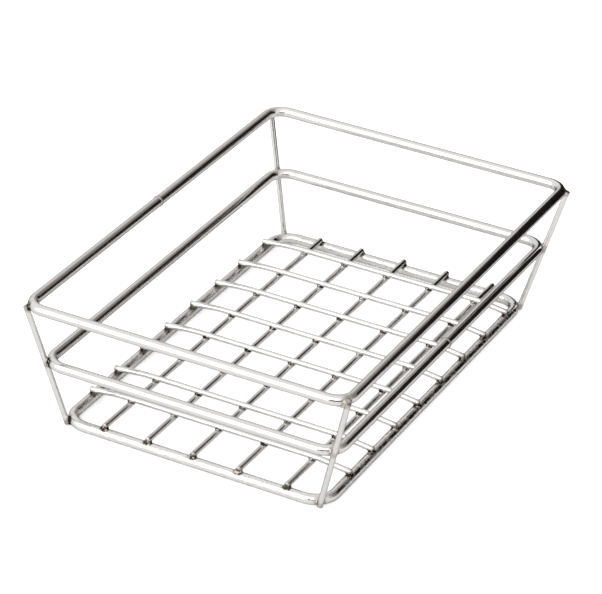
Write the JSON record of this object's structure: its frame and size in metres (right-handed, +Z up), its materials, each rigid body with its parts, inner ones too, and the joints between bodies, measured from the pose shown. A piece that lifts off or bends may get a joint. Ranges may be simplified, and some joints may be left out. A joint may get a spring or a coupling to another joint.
{
  "type": "wire basket",
  "caption": "Shallow rectangular basket of welded round stainless wire, open at the top, with flared sides of spaced rings, slanted corner posts and a square-grid floor.",
  "frame": {"origin": "centre of the basket's bounding box, on the surface it stands on", "axes": "+X along the basket, +Y across it, +Z up out of its open top"},
  "size_m": [0.2288, 0.1572, 0.0641],
  "materials": {
    "ring_wire": "electropolished",
    "light_wire": "electropolished",
    "weld": "as welded, faintly heat-tinted"
  },
  "bodies": {
    "root": {"top_rim": "ring_wire", "middle_ring": "ring_wire", "bottom_ring": "ring_wire", "corner_post_front_left": "light_wire", "corner_post_front_right": "light_wire", "corner_post_back_left": "light_wire", "corner_post_back_right": "light_wire", "floor_long_wire_1": "light_wire", "floor_long_wire_2": "light_wire", "floor_long_wire_3": "light_wire", "floor_long_wire_4": "light_wire", "floor_long_wire_5": "light_wire", "floor_cross_wire_1": "light_wire", "floor_cross_wire_2": "light_wire", "floor_cross_wire_3": "light_wire", "floor_cross_wire_4": "light_wire", "floor_cross_wire_5": "light_wire", "floor_cross_wire_6": "light_wire", "floor_cross_wire_7": "light_wire", "floor_cross_wire_8": "light_wire", "top_rim_butt_weld": "weld", "middle_ring_butt_weld": "weld", "bottom_ring_butt_weld": "weld", "post_welds": "weld", "floor_end_welds": "weld"}
  },
  "joints": []
}
